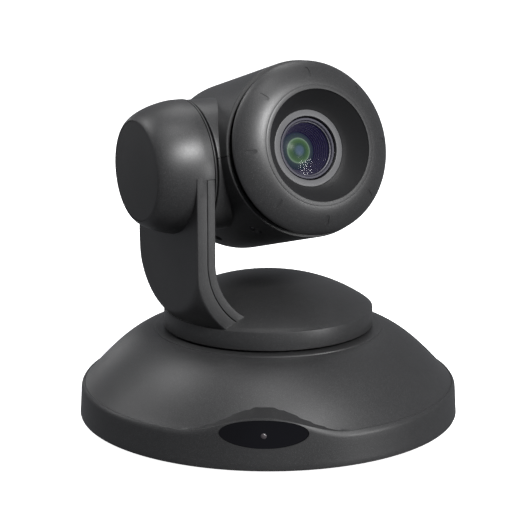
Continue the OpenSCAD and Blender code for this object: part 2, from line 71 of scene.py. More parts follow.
def soft_box(name, turn, rise, distance, width, height, power):
    """An area light aimed at the object; turn is degrees to the viewer's right of the front."""
    a, e = math.radians(turn), math.radians(rise)
    direction = Vector((math.sin(a) * math.cos(e), -math.cos(a) * math.cos(e), math.sin(e)))
    data = bpy.data.lights.new(name, "AREA")
    data.shape = "RECTANGLE"
    data.size, data.size_y = width, height
    data.energy = power
    light = bpy.data.objects.new(name, data)
    light.location = light_aim + distance * direction
    light.rotation_euler = (-direction).to_track_quat("-Z", "Y").to_euler()
    bpy.context.scene.collection.objects.link(light)


soft_box("key_box", 29, 37, 1.2, 0.26, 0.26, 23)
soft_box("right_box", 56, 3, 1.1, 0.25, 0.3, 5.5)
soft_box("top_box", 0, 76, 1.1, 0.35, 0.3, 2.5)
soft_box("left_high", -105, 50, 1.2, 0.4, 0.4, 4)
soft_box("left_box", -105, 24, 1.2, 0.3, 0.4, 1.6)
soft_box("back_left", -148, 6, 1.3, 0.3, 0.3, 0.45)
soft_box("back_box", 180, 62, 1.2, 0.5, 0.5, 3)

world = bpy.data.worlds.new("studio")
world.use_nodes = True
world.node_tree.nodes["Background"].inputs["Color"].default_value = (0.92, 0.94, 1.0, 1)
world.node_tree.nodes["Background"].inputs["Strength"].default_value = 0.25
bpy.context.scene.world = world
bpy.context.scene.view_settings.view_transform = "Standard"

floor_mesh = bpy.data.meshes.new("floor")
far = 30
floor_mesh.from_pydata([(-far, -far, 0), (far, -far, 0), (far, far, 0), (-far, far, 0)], [], [(0, 1, 2, 3)])
floor = bpy.data.objects.new("floor", floor_mesh)
bpy.context.scene.collection.objects.link(floor)
floor_finish = bpy.data.materials.new("pale_floor")
floor_finish.use_nodes = True
floor_shader = floor_finish.node_tree.nodes["Principled BSDF"]
floor_shader.inputs["Base Color"].default_value = (0.9, 0.9, 0.9, 1)
floor_shader.inputs["Roughness"].default_value = 0.9
floor_shader.inputs["Emission Color"].default_value = (1, 1, 1, 1)
floor_shader.inputs["Emission Strength"].default_value = 1.0
floor_mesh.materials.append(floor_finish)
floor.visible_diffuse = False
floor.visible_glossy = False

# ---- Base cover ------------------------------------------------------------------------------
# One injection-moulded bell in charcoal ABS with a fine metallic fleck. Its rim rises in a wave
# over the front window; the back is cut away for the cables. It screws to the base plate.
MM = 0.001
cover_low, cover_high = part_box("base_cover")
BASE = Matrix.Translation((0, 0, cover_low.z))


def object_from(name, verts, faces, where, smooth=34):
    """A mesh piece from points in millimetres, placed by a matrix in metres."""
    mesh = bpy.data.meshes.new(name)
    mesh.from_pydata([where @ (Vector(v) * MM) for v in verts], [], faces)
    piece = bpy.data.objects.new(name, mesh)
    bpy.context.scene.collection.objects.link(piece)
    form = bmesh.new()
    form.from_mesh(mesh)
    bmesh.ops.remove_doubles(form, verts=form.verts, dist=1e-7)
    bmesh.ops.recalc_face_normals(form, faces=form.faces)
    form.to_mesh(mesh)
    form.free()
    smooth_by(piece, smooth)
    return piece


def smooth_by(piece, degrees):
    """Smooth shading, with edges sharper than the angle kept crisp."""
    piece.data.shade_smooth()
    piece.data.set_sharp_from_angle(angle=math.radians(degrees))


def rounded(corners, steps=5):
    """An outline from (x, y, corner radius) points, each corner an arc."""
    points = []
    count = len(corners)
    for i, (x, y, radius) in enumerate(corners):
        here = Vector((x, y))
        if radius <= 0:
            points.append(tuple(here))
            continue
        back = Vector(corners[i - 1][:2]) - here
        ahead = Vector(corners[(i + 1) % count][:2]) - here
        half = back.angle(ahead) / 2
        reach = min(radius / math.tan(half), back.length * 0.49, ahead.length * 0.49)
        start, end = here + back.normalized() * reach, here + ahead.normalized() * reach
        middle = here + (back.normalized() + ahead.normalized()).normalized() * reach / math.cos(half)
        turn_from = math.atan2(*(start - middle).yx)
        turn = (math.atan2(*(end - middle).yx) - turn_from + math.pi) % (2 * math.pi) - math.pi
        size = (start - middle).length
        for k in range(steps + 1):
            w = turn_from + turn * k / steps
            points.append((middle.x + size * math.cos(w), middle.y + size * math.sin(w)))
    return points


def lathe(name, outline, where, steps=192, smooth=34):
    """Turns a closed outline of (radius, height) points about the local Z axis."""
    verts, faces = [], []
    rows = len(outline)
    for k in range(steps):
        w = 2 * math.pi * k / steps
        verts += [(max(r, 0) * math.cos(w), max(r, 0) * math.sin(w), z) for r, z in outline]
    for k in range(steps):
        a, b = k * rows, (k + 1) % steps * rows
        for i in range(rows):
            j = (i + 1) % rows
            if outline[i][0] <= 0 and outline[j][0] <= 0:
                continue
            if outline[i][0] <= 0:
                faces.append((a + i, b + j, a + j))
            elif outline[j][0] <= 0:
                faces.append((a + i, b + i, a + j))
            else:
                faces.append((a + i, b + i, b + j, a + j))
    return object_from(name, verts, faces, where, smooth)


def combined(piece, other, operation):
    """Adds, cuts or intersects one closed piece with another, which is then deleted."""
    step = piece.modifiers.new("join", "BOOLEAN")
    step.operation, step.object, step.solver = operation, other, "EXACT"
    mesh = bpy.data.meshes.new_from_object(piece.evaluated_get(bpy.context.evaluated_depsgraph_get()))
    piece.modifiers.clear()
    old = piece.data
    piece.data = mesh
    bpy.data.meshes.remove(old)
    mesh.name = piece.name
    bpy.data.objects.remove(other)
    return piece


def block(name, low, high, where):
    """A plain box, used only to cut or trim."""
    (x0, y0, z0), (x1, y1, z1) = low, high
    verts = [(x, y, z) for x in (x0, x1) for y in (y0, y1) for z in (z0, z1)]
    faces = [(0, 1, 3, 2), (4, 6, 7, 5), (0, 4, 5, 1), (2, 3, 7, 6), (0, 2, 6, 4), (1, 5, 7, 3)]
    return object_from(name, verts, faces, where)


def bezier(p, t):
    """A point on a cubic Bezier curve in the radius and height plane."""
    s = 1 - t
    return tuple(s ** 3 * p[0][i] + 3 * t * s * s * p[1][i] + 3 * t * t * s * p[2][i] + t ** 3 * p[3][i]
                 for i in (0, 1))


rim_r = cover_high.x / MM
top_h = (cover_high.z - cover_low.z) / MM
rim_h, rim_lean, rim_pull, shoulder = 15.3, 0.0615, 0.96, 2.5
crease_r = rim_r - rim_lean * rim_h - rim_pull
bell_curve = [(crease_r - 0.7, rim_h - 0.1), (rim_r - 8.7, rim_h + 5.9), (rim_r - 20.8, top_h - 4.1),
              (rim_r - 36, top_h)]
brow_rise, brow_half_w, ledge_slope = 8.3, 40.0, math.tan(math.radians(9))
neck_r, neck_step, neck_sweep, wall = 34.0, 0.6, 8, 2.2
bell_fine = [bezier(bell_curve, i / 60) for i in range(61)]


def crease_height(w):
    """Height of the rim's upper edge in the direction w, with its wave over the window."""
    x = rim_r * math.cos(w)
    if math.sin(w) > 0 or abs(x) > brow_half_w:
        return rim_h
    return rim_h + brow_rise * math.cos(math.pi * x / brow_half_w / 2) ** 2


def bell_line(w):
    """The outline of the cover in the direction w: rim, crease, ledge or bell, and flat top."""
    edge_h = crease_height(w)
    lift = edge_h - rim_h
    pull = rim_pull * (1 - 0.75 * lift / brow_rise)
    edge_r = rim_r - rim_lean * edge_h - pull
    line = [(rim_r - 0.5, 0.0), (rim_r - 0.1, 0.15), (rim_r, 0.5)]
    line += [(rim_r - rim_lean * h, h) for h in
             (0.5 + (edge_h - shoulder - 0.5) * k / 6 for k in range(1, 7))]
    for f in (0.25, 0.5, 0.7, 0.85, 0.95):
        h = edge_h - shoulder * (1 - f)
        line.append((rim_r - rim_lean * h - pull * f ** 2.2, h))
    line += [(edge_r + 0.02, edge_h), (edge_r - 0.18, edge_h + 0.1),
             (edge_r - 0.45, edge_h + 0.06), (edge_r - 0.7, edge_h - 0.1)]
    # the ledge runs inwards until it meets the bell
    start_r, start_z = edge_r - 0.7, edge_h - 0.1
    meet = next(i for i, (r, z) in enumerate(bell_fine)
                if z >= start_z + (start_r - r) * ledge_slope - 1e-6 or i == 60)
    if lift < 0.05:
        meet = 0
    meet_r, meet_z = bell_fine[meet]
    line += [(start_r + (meet_r - start_r) * k / 6, start_z + (meet_z - start_z) * k / 6)
             for k in range(1, 7)]
    top_r, top_z = bell_fine[-1]
    along = [meet + (60 - meet) * k / 28 for k in range(1, 29)]
    for s in along:
        i = min(int(s), 59)
        f = s - i
        r, z = (bell_fine[i][j] * (1 - f) + bell_fine[i + 1][j] * f for j in (0, 1))
        line.append((r, z - neck_step * max(0, (top_r + neck_sweep - r) / neck_sweep) ** 2))
    line += [(top_r - 0.06, top_z - 0.35), (top_r - 0.12, top_z - 0.12), (top_r - 0.4, top_z),
             (top_r - 1.5, top_z), (neck_r + 1, top_z), (neck_r + 0.3, top_z - 0.1), (neck_r, top_z - 0.5),
             (neck_r, top_z - wall)]
    return line


def bell_shell(name, steps=360):
    """The cover as a closed shell: the outline all round outside, and a plain wall inside."""
    inner = [(neck_r + 2, top_h - wall), (rim_r - 38, top_h - wall), (rim_r - 25, top_h - 7.2),
             (rim_r - 13, rim_h + 4.4), (rim_r - 4.4, rim_h - 3), (rim_r - wall, 2.0), (rim_r - wall, 0.0)]
    verts, faces = [], []
    for k in range(steps):
        w = 2 * math.pi * k / steps
        line = bell_line(w) + inner
        verts += [(r * math.cos(w), r * math.sin(w), z) for r, z in line]
    rows = len(verts) // steps
    for k in range(steps):
        a, b = k * rows, (k + 1) % steps * rows
        faces += [(a + i, b + i, b + (i + 1) % rows, a + (i + 1) % rows) for i in range(rows)]
    return object_from(name, verts, faces, BASE)


def oval_prism(name, grow, near, far, steps=96):
    """A prism along Y whose section is the window's oval, sunk below the brow."""
    verts, faces = [], []
    for k in range(steps):
        w = 2 * math.pi * k / steps
        x, z = (window_half_w + grow) * math.cos(w), window_h + (window_half_h + grow) * math.sin(w)
        verts += [(x, near, z), (x, far, z)]
    faces = [(2 * k, 2 * k + 1, (2 * k + 3) % (2 * steps), (2 * k + 2) % (2 * steps)) for k in range(steps)]
    faces += [tuple(range(0, 2 * steps, 2)), tuple(range(1, 2 * steps, 2))]
    return object_from(name, verts, faces, BASE)


window_low, window_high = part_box("front_window")
window_half_w = (window_high.x - window_low.x) / 2 / MM + 0.1
window_half_h = (window_high.z - window_low.z) / 2 / MM + 0.1
window_h = (window_high.z + window_low.z) / 2 / MM - BASE.translation.z / MM
panel_low, panel_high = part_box("rear_panel")
recess_half_w = panel_high.x / MM
recess_low, recess_high = ((z - BASE.translation.z) / MM for z in (panel_low.z, panel_high.z))
panel_y = panel_low.y / MM

cover = bell_shell("base_cover_shell")
liner = block("liner", (-recess_half_w - wall, panel_y - 2, recess_low - 0.13),
              (recess_half_w + wall, 92, recess_high + wall), BASE)
liner_limit = lathe("liner_limit", [(0, -1), (rim_r - 0.4, -1), (crease_r - 0.5, rim_h - 0.3)]
                    + [(r - 0.3, z - 0.3) for r, z in bell_fine[::4]] + [(0, top_h - 0.3)], BASE)
recess_from, recess_to = (-recess_half_w, panel_y - 4, recess_low), (recess_half_w, 96, recess_high)
combined(liner, liner_limit, "INTERSECT")
combined(liner, block("recess", recess_from, recess_to, BASE), "DIFFERENCE")
combined(cover, oval_prism("window_cut", 0.0, -70, -96), "DIFFERENCE")
combined(cover, block("recess", recess_from, recess_to, BASE), "DIFFERENCE")
combined(cover, liner, "UNION")
smooth_by(cover, 24)


def moulded(name, colour, rough=0.45, grain=0.35, depth=0.00004, fleck=0.0, mottle=0.12):
    """Moulded plastic: a base colour with soft mottling, spark-eroded grain and a fine fleck."""
    made = bpy.data.materials.new(name)
    made.use_nodes = True
    tree = made.node_tree
    shader = tree.nodes["Principled BSDF"]
    place = tree.nodes.new("ShaderNodeTexCoord")

    def noise(scale, detail):
        node = tree.nodes.new("ShaderNodeTexNoise")
        node.inputs["Scale"].default_value = scale
        node.inputs["Detail"].default_value = detail
        tree.links.new(place.outputs["Object"], node.inputs["Vector"])
        return node.outputs["Fac"]

    def ranged(value, low, high, to_low, to_high):
        node = tree.nodes.new("ShaderNodeMapRange")
        keys = ("From Min", "From Max", "To Min", "To Max")
        for key, number in zip(keys, (low, high, to_low, to_high)):
            node.inputs[key].default_value = number
        tree.links.new(value, node.inputs["Value"])
        return node.outputs["Result"]

    cloud, grit = noise(38, 3), noise(1 / (grain * MM), 2)
    mix = tree.nodes.new("ShaderNodeMix")
    mix.data_type = "RGBA"
    mix.inputs["A"].default_value = [c * (1 - mottle) for c in colour] + [1]
    mix.inputs["B"].default_value = [min(1, c * (1 + mottle)) for c in colour] + [1]
    tree.links.new(ranged(cloud, 0.3, 0.7, 0, 1), mix.inputs["Factor"])
    base = mix.outputs["Result"]
    if fleck:
        spark = noise(1 / (0.16 * MM), 0)
        flecks = tree.nodes.new("ShaderNodeMix")
        flecks.data_type = "RGBA"
        flecks.inputs["B"].default_value = [min(1, c * 3.2 + 0.02) for c in colour] + [1]
        tree.links.new(base, flecks.inputs["A"])
        tree.links.new(ranged(spark, 0.6, 0.75, 0, fleck), flecks.inputs["Factor"])
        base = flecks.outputs["Result"]
    tree.links.new(base, shader.inputs["Base Color"])
    tree.links.new(ranged(grit, 0.2, 0.8, rough - 0.05, rough + 0.07), shader.inputs["Roughness"])
    bump = tree.nodes.new("ShaderNodeBump")
    bump.inputs["Strength"].default_value = 0.35
    bump.inputs["Distance"].default_value = depth
    tree.links.new(grit, bump.inputs["Height"])
    tree.links.new(bump.outputs["Normal"], shader.inputs["Normal"])
    return made


def dressed(piece, finish, body, slot_name, *nodes):
    """Gives a piece its finish, the CAD body it rides on and the CAD nodes it stands for."""
    piece.data.materials.clear()
    piece.data.materials.append(finish)
    for face in piece.data.polygons:
        face.material_index = 0
    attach(piece, body)
    if nodes:
        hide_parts(*nodes)


charcoal = moulded("charcoal_shell", (0.017, 0.017, 0.0175), rough=0.42, fleck=0.7)
charcoal.node_tree.nodes["Principled BSDF"].inputs["Metallic"].default_value = 0.2
dressed(cover, charcoal, "base", "shell", "base_cover")

# ---- Front window ----------------------------------------------------------------------------
# A smoked acrylic window, polished outside, that lets the remote control's light through to the
# receiver. It snaps into the oval opening from inside.
window_in_r, window_out_r, blank_h = rim_r - 3.2, rim_r - 0.45, 26
window = lathe("front_window_lens", [
    (window_in_r, -2), (window_out_r, -2), (window_out_r - rim_lean * blank_h, blank_h),
    (window_in_r - rim_lean * blank_h, blank_h)], BASE, 360)
combined(window, oval_prism("window_edge", -0.12, -70, -96), "INTERSECT")
smooth_by(window, 30)
smoked = moulded("smoked_window", (0.003, 0.003, 0.004), rough=0.12, grain=3.0, depth=0.000004)
smoked.node_tree.nodes["Principled BSDF"].inputs["Specular IOR Level"].default_value = 0.2
dressed(window, smoked, "base", "window", "front_window")

# ---- Infrared receiver -----------------------------------------------------------------------
# A small dome of dark moulded resin that just shows in the middle of the window. It is soldered
# to the receiver board behind it.
eye_low, eye_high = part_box("ir_receiver")
eye_z = (eye_low.z + eye_high.z) / 2
eye_at = Matrix.Translation((0, -(rim_r - 1.6) * MM, eye_z - 0.8 * MM))
eye = lathe("receiver_dome", [
    (0, -1.0), (1.5, -1.0), (1.5, -0.3), (1.3, 0.15), (0.9, 0.42), (0.45, 0.55), (0, 0.6)],
            eye_at @ Matrix.Rotation(math.radians(90), 4, "X"), 48)
eye_finish = moulded("receiver_resin", (0.035, 0.03, 0.033), rough=0.25, grain=1.0, depth=0.00001)
dressed(eye, eye_finish, "base", "receiver", "ir_receiver")

# ---- Turntable and arm shell -----------------------------------------------------------------
# The turntable's dome, the outer half of the arm and the tilt drive housing are one charcoal
# moulding, so the arm grows out of the dome without a joint. It turns with the pan shaft.
JOINTS = {j["name"]: j for j in frame["joints"]}
arm_dir = Vector(JOINTS["tilt"]["axis"]).normalized()
lens_dir = Vector(JOINTS["zoom"]["axis"]).normalized()
axis_at = Vector(JOINTS["tilt"]["pos_m"])
up = Vector((0, 0, 1))


def axes(x, y, z, at):
    """A placing matrix from three unit vectors and a point."""
    return Matrix.Translation(at) @ Matrix((x, y, z)).transposed().to_4x4()


YOKE = axes(-arm_dir, up.cross(-arm_dir), up, BASE.translation)
HEAD = axes(-arm_dir, -lens_dir, (-arm_dir).cross(-lens_dir), axis_at)
TO_ARM = axes(up, up.cross(-arm_dir), arm_dir, axis_at)
TO_LENS = axes(-arm_dir, (-arm_dir).cross(-lens_dir), lens_dir, axis_at)

axis_h = (axis_at.z - BASE.translation.z) / MM
turn_r, turn_low_h, turn_edge_h, dome_rise = 49.5, 42.1, 50.7, 14.5
bend_a, bend_h, arm_in_r, arm_seam_r, arm_out_r = 12.0, 82.0, 31.4, 35.6, 40.4
arm_front, arm_back, arm_half_w, foot_low_h = -30.25, 31.2, 30.7, 47.5
drum_r, drum_in_a, drum_round_a, drum_end_a, cap_r = 30.5, 43.4, 47.0, 67.7, 22.6


def dome_height(r):
    """Height of the turntable's dome at a radius."""
    return turn_edge_h + dome_rise * (1 - (r / turn_r) ** 2.4)


def full_corner(x0, y0, x1, y1, power, steps):
    """Points of a corner that swells from one point to another; a smaller power is flatter."""
    turns = [math.pi / 2 * k / steps for k in range(steps + 1)]
    swell = 2 / power
    return [(x1 + (x0 - x1) * max(math.cos(w), 0) ** swell, y0 + (y1 - y0) * math.sin(w) ** swell)
            for w in turns]


def arm_shell(name, top, corner=0.5):
    """The arm's outer half: flat outside, and at its foot wrapped round the pan axis."""
    verts, faces = [], []
    levels = [foot_low_h + (bend_h - foot_low_h) * (k / 44) for k in range(45)]
    levels += [bend_h + (top - bend_h) * k / 4 for k in range(1, 5)]
    for h in levels:
        drop = max(bend_h - h, 0)
        seam_a = bend_a + math.sqrt(max(arm_seam_r ** 2 - drop ** 2, 0))
        edge_a = bend_a + math.sqrt(arm_out_r ** 2 - drop ** 2)
        swell_r = math.hypot(edge_a + 0.6, arm_half_w)
        section = [(seam_a, arm_front), (seam_a, 0), (seam_a, arm_back)]
        flat_a = bend_a + arm_out_r
        for k in range(41):
            y = (arm_back + arm_front) / 2 + (arm_back - arm_front) / 2 * math.cos(math.pi * k / 40)
            a = math.sqrt(swell_r ** 2 - y ** 2)
            blend = max(1.2 - abs(a - flat_a), 0)
            a = min(a, flat_a) - (blend ** 2 / 4.8 if drop > 0 else 0)
            into = max(y - (arm_back - corner), arm_front + corner - y, 0)
            section.append((a - corner + math.sqrt(max(corner ** 2 - into ** 2, 0)), y))
        verts += [(-a, y, h) for a, y in section]
    rows = len(section)
    for k in range(len(levels) - 1):
        a, b = k * rows, (k + 1) * rows
        faces += [(a + i, a + (i + 1) % rows, b + (i + 1) % rows, b + i) for i in range(rows)]
    faces += [tuple(range(rows)), tuple(range(len(verts) - rows, len(verts)))]
    return object_from(name, verts, faces, YOKE)


def arm_strap(name, r_in, r_out, top, sweep, corner):
    """A stretch of the arm: a rounded strip that runs straight down, then round the bend."""
    strip = rounded([(r_in, arm_front + 0.05, corner), (r_out, arm_front + 0.05, corner),
                     (r_out, arm_back - 0.05, corner), (r_in, arm_back - 0.05, corner)])
    stations = [(0.0, top + (bend_h - top) * k / 6) for k in range(7)]
    stations += [(sweep * k / 40, None) for k in range(1, 41)]
    verts, faces = [], []
    for turn, height in stations:
        c, s = math.cos(math.radians(turn)), math.sin(math.radians(turn))
        verts += [(-(bend_a + n * c), y, bend_h - n * s if height is None else height) for n, y in strip]
    rows = len(strip)
    for k in range(len(stations) - 1):
        a, b = k * rows, (k + 1) * rows
        faces += [(a + i, a + (i + 1) % rows, b + (i + 1) % rows, b + i) for i in range(rows)]
    faces += [tuple(range(rows)), tuple(range(len(verts) - rows, len(verts)))]
    return object_from(name, verts, faces, YOKE)


dome_line = [(turn_r * k / 40, dome_height(turn_r * k / 40)) for k in range(40)]
turn_edge = [(turn_r - 0.35, turn_edge_h + 0.05), (turn_r - 0.08, turn_edge_h - 0.1),
             (turn_r, turn_edge_h - 0.4)]
foot_line = [(turn_r, turn_low_h + 0.4), (turn_r - 0.1, turn_low_h + 0.1), (turn_r - 0.4, turn_low_h),
             (turn_r - wall, turn_low_h)]
inner_dome = [(turn_r - wall, turn_edge_h - 1.5), (turn_r * 0.7, dome_height(turn_r * 0.7) - wall),
              (0, dome_height(0) - wall)]
yoke = lathe("yoke_shell_skin", dome_line + turn_edge + foot_line + inner_dome, YOKE, 256)
strap = arm_shell("strap", axis_h)
drum_line = [(0, drum_in_a), (drum_r - 0.25, drum_in_a), (drum_r, drum_in_a + 0.25), (drum_r, 45)]
drum_line += full_corner(drum_r, drum_round_a, cap_r, drum_end_a, 1.55, 32)
drum_line += [(cap_r, drum_end_a - 0.7), (0, drum_end_a - 0.7)]
drum = lathe("drum", drum_line, TO_ARM, 224)
seat_half_w, seat_a = 33, 38
seat = block("seat", (-arm_seam_r - bend_a, -seat_half_w, axis_h - 34),
             (-seat_a, seat_half_w, axis_h - 0.8), YOKE)
combined(drum, seat, "DIFFERENCE")
combined(strap, drum, "UNION")
combined(yoke, strap, "UNION")
smooth_by(yoke, 26)
dressed(yoke, charcoal, "yoke", "shell", "yoke_shell")

# ---- Arm inner cover -------------------------------------------------------------------------
# The inner half of the arm, a separate strip in the same plastic that closes the cable channel.
# It hooks into the dome at its foot and stops at a straight joint under the housing.
cover_sweep = 62
inner_cover = arm_strap("arm_cover_strip", arm_in_r, arm_seam_r - 0.3, axis_h - 1.1, cover_sweep, 0.4)
dressed(inner_cover, charcoal, "yoke", "trim", "arm_inner_cover")

# ---- Housing lid and cap ---------------------------------------------------------------------
# A thin charcoal ring closes the drive housing towards the head, and a flat matt disc closes its
# far end. Both are moulded plastic and snap into the housing.
lid_in_a, lid_out_a, lid_bore_r = 42.3, drum_in_a - 0.25, 13.5
lid_line = rounded([(lid_bore_r, lid_in_a, 0.2), (drum_r, lid_in_a, 0.3), (drum_r, lid_out_a, 0.2),
                    (lid_bore_r, lid_out_a, 0.2)])
lid = lathe("housing_lid_ring", lid_line, TO_ARM)
dressed(lid, charcoal, "yoke", "trim", "housing_lid")
cap_in_a, cap_out_a, cap_edge_r = drum_end_a - 1.4, drum_end_a - 0.1, cap_r - 0.12
cap_line = rounded([(0, cap_in_a, 0), (cap_edge_r, cap_in_a, 0), (cap_edge_r, cap_out_a, 0.25),
                    (0, cap_out_a, 0)])
cap = lathe("housing_cap_disc", cap_line, TO_ARM, 160)
matt_cap = moulded("matt_cap", (0.018, 0.018, 0.0185), rough=0.55, grain=0.5, depth=0.00006)
dressed(cap, matt_cap, "yoke", "trim", "housing_cap")

# ---- Head shells -----------------------------------------------------------------------------
# Two half shells, upper and lower, meet on the level of the tilt axis and are screwed together
# from below. Each carries half of the round boss that faces the arm.
head_r, head_front_d, head_back_d, head_round = 39.96, 36.3, 42.0, 14.0
boss_r, boss_a = 30.0, 41.3
back_r, back_bulge = head_r - head_round, 0.6
back_arc = [(back_r + head_round * math.cos(w), head_round - head_back_d - head_round * math.sin(w))
            for w in (math.pi / 2 * k / 16 for k in range(17))]
back_face = [(back_r * k / 6, -head_back_d - back_bulge * (1 - (k / 6) ** 2)) for k in range(5, -1, -1)]
barrel_line = ([(head_r - 1.7, head_front_d), (head_r - 0.25, head_front_d), (head_r, head_front_d - 0.3)]
               + [(head_r, head_front_d - 0.3 - k * 8) for k in range(1, 8)] + back_arc + back_face
               + [(0, 2 - head_back_d), (24, 2 - head_back_d), (head_r - 4, -32), (head_r - 2, -26),
                  (head_r - 2, 31.5), (36.3, 31.5), (36.3, 33), (head_r - 1.7, 33)])
boss_line = rounded([(9, boss_a - 2, 0), (boss_r - 2, boss_a - 2, 0), (boss_r - 2, 20, 0), (boss_r, 20, 0),
                     (boss_r, boss_a, 0.6), (9, boss_a, 0.2)])


def head_half(name, low, high):
    """One half shell, trimmed from the whole head between two heights."""
    barrel = lathe(name, barrel_line, TO_LENS, 224)
    combined(barrel, lathe("boss", boss_line, TO_ARM, 160), "UNION")
    combined(barrel, block("half", (-60, -60, low), (60, 60, high), HEAD), "INTERSECT")
    smooth_by(barrel, 26)
    return barrel


seam_gap, screw_x, screw_y, screw_seat = 0.14, 22, 20, -30.5
upper = head_half("head_upper_skin", seam_gap, 60)
dressed(upper, charcoal, "head", "shell", "head_upper_shell")
lower = head_half("head_lower_skin", -60, -seam_gap)
for x in (-screw_x, screw_x):
    for y in (-screw_y, screw_y):
        pocket_at = HEAD @ Matrix.Translation((x * MM, y * MM, 0))
        pocket = lathe("pocket", [(0, -41), (2.6, -41), (2.6, screw_seat), (0, screw_seat)], pocket_at, 32)
        combined(lower, pocket, "DIFFERENCE")
smooth_by(lower, 26)
dressed(lower, charcoal, "head", "shell", "head_lower_shell")

# ---- Front bezel -----------------------------------------------------------------------------
# A deep round bezel in the same charcoal plastic, pressed onto the front of the head. Eight small
# marks are sunk round its face, and its inner edge ends in a narrow flat crest.
bezel_r, bezel_edge_d, crest_d, crest_out_r, crest_in_r = 39.1, 40.4, 49.0, 27.0, 25.0
bezel_line = [(34.5, 32.4), (36, 32.4), (36, 38.0), (36.3, 38.4), (bezel_r - 1.6, 38.7),
              (bezel_r - 0.7, 39.1), (bezel_r - 0.2, 39.7)]
bezel_line += full_corner(bezel_r, bezel_edge_d, crest_out_r, crest_d - 0.25, 1.45, 30)
bezel_line += [(crest_out_r - 0.05, crest_d - 0.08), (crest_out_r - 0.2, crest_d),
               (crest_in_r + 0.15, crest_d), (crest_in_r, crest_d - 0.15), (crest_in_r, 47.6),
               (crest_in_r + 2.6, 46.4), (34.5, 43)]
bezel = lathe("front_bezel_ring", bezel_line, TO_LENS, 256)


def tree_of(name, numbers):
    """An empty Geometry Nodes tree with a mesh input, named number inputs and a finish."""
    tree = bpy.data.node_groups.new(name, "GeometryNodeTree")
    tree.interface.new_socket("Piece", in_out="INPUT", socket_type="NodeSocketGeometry")
    for label, kind in numbers:
        tree.interface.new_socket(label, in_out="INPUT", socket_type=kind)
    tree.interface.new_socket("Finish", in_out="INPUT", socket_type="NodeSocketMaterial")
    tree.interface.new_socket("Copies", in_out="OUTPUT", socket_type="NodeSocketGeometry")
    return tree, tree.nodes.new("NodeGroupInput"), tree.nodes.new("NodeGroupOutput")


def finish_tree(tree, instances, given, result):
    """Ends a tree in Realize Instances and Set Material."""
    real = tree.nodes.new("GeometryNodeRealizeInstances")
    coat = tree.nodes.new("GeometryNodeSetMaterial")
    tree.links.new(instances, real.inputs["Geometry"])
    tree.links.new(real.outputs["Geometry"], coat.inputs["Geometry"])
    tree.links.new(given.outputs["Finish"], coat.inputs["Material"])
    tree.links.new(coat.outputs["Geometry"], result.inputs["Copies"])


def ring_tree():
    """Copies a piece round the Z axis: count, radius, first angle and the angle between two."""
    tree, given, result = tree_of("ring_of_copies", [
        ("Count", "NodeSocketInt"), ("Radius", "NodeSocketFloat"), ("First Angle", "NodeSocketFloat"),
        ("Step Angle", "NodeSocketFloat")])
    reach = tree.nodes.new("ShaderNodeCombineXYZ")
    moved = tree.nodes.new("GeometryNodeTransform")
    points = tree.nodes.new("GeometryNodeMeshLine")
    place = tree.nodes.new("GeometryNodeInstanceOnPoints")
    index = tree.nodes.new("GeometryNodeInputIndex")
    angle = tree.nodes.new("ShaderNodeMath")
    angle.operation = "MULTIPLY_ADD"
    turn = tree.nodes.new("ShaderNodeCombineXYZ")
    points.inputs["Offset"].default_value = (0, 0, 0)
    tree.links.new(given.outputs["Radius"], reach.inputs["X"])
    tree.links.new(given.outputs["Piece"], moved.inputs["Geometry"])
    tree.links.new(reach.outputs["Vector"], moved.inputs["Translation"])
    tree.links.new(given.outputs["Count"], points.inputs["Count"])
    tree.links.new(index.outputs["Index"], angle.inputs[0])
    tree.links.new(given.outputs["Step Angle"], angle.inputs[1])
    tree.links.new(given.outputs["First Angle"], angle.inputs[2])
    tree.links.new(angle.outputs["Value"], turn.inputs["Z"])
    tree.links.new(points.outputs["Mesh"], place.inputs["Points"])
    tree.links.new(moved.outputs["Geometry"], place.inputs["Instance"])
    tree.links.new(turn.outputs["Vector"], place.inputs["Rotation"])
    finish_tree(tree, place.outputs["Instances"], given, result)
    return tree


RING = ring_tree()


def grown(piece, tree, finish, where, **numbers):
    """Runs a tree on a piece, keeps the result as its plain mesh and puts it in its place."""
    step = piece.modifiers.new("copies", "NODES")
    step.node_group = tree
    wanted = {label.replace("_", " ").title(): value for label, value in numbers.items()}
    wanted["Finish"] = finish
    for item in tree.interface.items_tree:
        if item.in_out == "INPUT" and item.name in wanted:
            step[item.identifier] = wanted[item.name]
    mesh = bpy.data.meshes.new_from_object(piece.evaluated_get(bpy.context.evaluated_depsgraph_get()))
    piece.modifiers.clear()
    old = piece.data
    piece.data = mesh
    bpy.data.meshes.remove(old)
    mesh.name = piece.name
    mesh.transform(where)
    smooth_by(piece, 34)


HERE = Matrix.Identity(4)


def prism(name, outline, low, high):
    """An upright prism on a flat outline."""
    count = len(outline)
    verts = [(x, y, z) for z in (low, high) for x, y in outline]
    faces = [(i, (i + 1) % count, count + (i + 1) % count, count + i) for i in range(count)]
    faces += [tuple(range(count)), tuple(range(count, 2 * count))]
    return object_from(name, verts, faces, HERE)


mark_r, mark_d, mark_long, mark_half_w, mark_slope = 33.3, 46.62, 5.2, 0.9, math.radians(32)
bow = [(mark_half_w * math.cos(w), mark_half_w * math.sin(w))
       for w in (math.pi * (k / 10 - 0.5) for k in range(11))]


def pill(length):
    """The outline of a slot with round ends."""
    shift = length / 2 - mark_half_w
    return [(x + shift, y) for x, y in bow] + [(-x - shift, -y) for x, y in bow]


mark = prism("mark_cutter", pill(mark_long), -0.5, 0.6)
mark.data.transform(Matrix.Translation((0, 0, mark_d * MM)) @ Matrix.Rotation(mark_slope, 4, "Y"))
grown(mark, RING, charcoal, TO_LENS, count=8, radius=mark_r * MM, step_angle=math.radians(45))
combined(bezel, mark, "DIFFERENCE")
smooth_by(bezel, 30)
dressed(bezel, charcoal, "head", "shell", "front_bezel")

